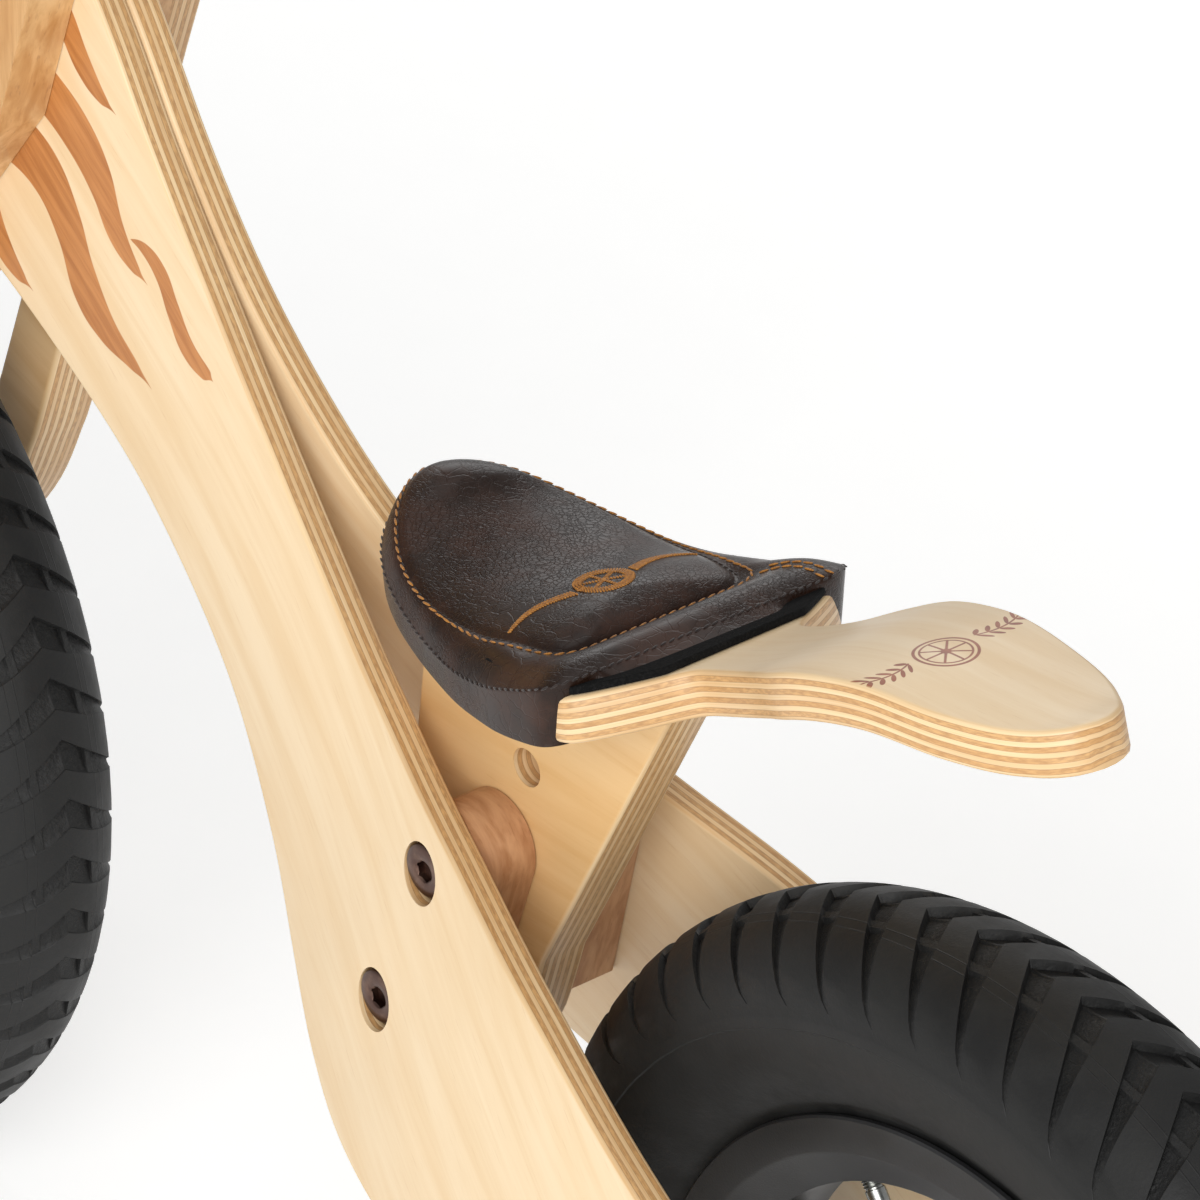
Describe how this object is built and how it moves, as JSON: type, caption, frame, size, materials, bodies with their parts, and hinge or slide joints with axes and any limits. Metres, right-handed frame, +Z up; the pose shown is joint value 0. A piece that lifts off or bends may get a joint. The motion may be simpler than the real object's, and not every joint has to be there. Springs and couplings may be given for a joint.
{
  "type": "balance bike",
  "caption": "Small wooden balance bike: bent plywood side panels, padded seat on a long plywood deck, plywood fork, handlebar and two fat air tyres.",
  "frame": {"origin": "on the floor, midway between the two ends of the tyres, on the centre plane", "axes": "+X forward, +Y to the rider's left, +Z up"},
  "size_m": [0.846, 0.3866, 0.5554],
  "materials": {
    "birch_ply": "clear satin lacquer on birch plywood, layered edges",
    "birch_block": "clear satin lacquer on laminated birch",
    "leatherette": "dark brown grained leatherette, semi-gloss",
    "webbing": "black hook-and-loop tape",
    "tyre_rubber": "matt black moulded rubber",
    "grip_rubber": "dark brown soft rubber",
    "wheel_nylon": "black glass-filled nylon",
    "bush_nylon": "black nylon",
    "bar_alloy": "satin anodised",
    "steel": "zinc-plated steel",
    "bronze_steel": "dark bronze plated steel"
  },
  "bodies": {
    "frame": {"side_panel_left": "birch_ply", "side_panel_right": "birch_ply", "seat_spacer_left": "birch_block", "seat_spacer_right": "birch_block", "seat_post_plate": "birch_ply", "seat_deck": "birch_ply", "saddle_pad": "leatherette", "hook_and_loop_layer": "webbing", "seat_screw_rear": "steel", "seat_screw_front": "steel", "seat_bolt_upper_left": "bronze_steel", "seat_bolt_upper_right": "bronze_steel", "seat_bolt_lower_left": "bronze_steel", "seat_bolt_lower_right": "bronze_steel", "seat_sleeve_upper": "steel", "seat_sleeve_lower": "steel", "head_block": "birch_block", "head_bolt_lower": "bronze_steel", "head_bolt_upper": "bronze_steel", "head_nut_lower": "bronze_steel", "head_nut_upper": "bronze_steel", "steering_bush_lower": "bush_nylon", "steering_bush_upper": "bush_nylon", "rear_axle": "steel", "rear_axle_spacer_left": "bush_nylon", "rear_axle_spacer_right": "bush_nylon", "rear_axle_nut_left": "bronze_steel", "rear_axle_nut_right": "bronze_steel"},
    "fork": {"fork_blade_left": "birch_ply", "fork_blade_right": "birch_ply", "yoke_lower": "birch_block", "yoke_upper": "birch_block", "yoke_bolt_lower_left": "bronze_steel", "yoke_bolt_lower_right": "bronze_steel", "yoke_bolt_upper_left": "bronze_steel", "yoke_bolt_upper_right": "bronze_steel", "steering_spindle": "steel", "steering_nut": "steel", "handlebar": "bar_alloy", "grip_left": "grip_rubber", "grip_right": "grip_rubber", "bar_screw_left": "steel", "bar_screw_right": "steel", "front_axle": "steel", "front_axle_spacer_left": "bush_nylon", "front_axle_spacer_right": "bush_nylon", "front_axle_nut_left": "bronze_steel", "front_axle_nut_right": "bronze_steel"},
    "front_wheel": {"front_tyre": "tyre_rubber", "front_rim": "wheel_nylon", "front_valve": "bronze_steel", "front_bearing_left": "steel", "front_bearing_right": "steel"},
    "rear_wheel": {"rear_tyre": "tyre_rubber", "rear_rim": "wheel_nylon", "rear_valve": "bronze_steel", "rear_bearing_left": "steel", "rear_bearing_right": "steel"}
  },
  "joints": [
    {"name": "steering", "type": "hinge", "parent": "frame", "child": "fork", "pos_m": [0.22633, 0, 0.14438], "axis": [-0.3322, 0, 0.9432], "range_deg": [-35, 35]},
    {"name": "front_wheel_spin", "type": "hinge", "parent": "fork", "child": "front_wheel", "pos_m": [0.265, 0, 0.158], "axis": [0, 1, 0], "continuous": true},
    {"name": "rear_wheel_spin", "type": "hinge", "parent": "frame", "child": "rear_wheel", "pos_m": [-0.265, 0, 0.158], "axis": [0, 1, 0], "continuous": true}
  ]
}
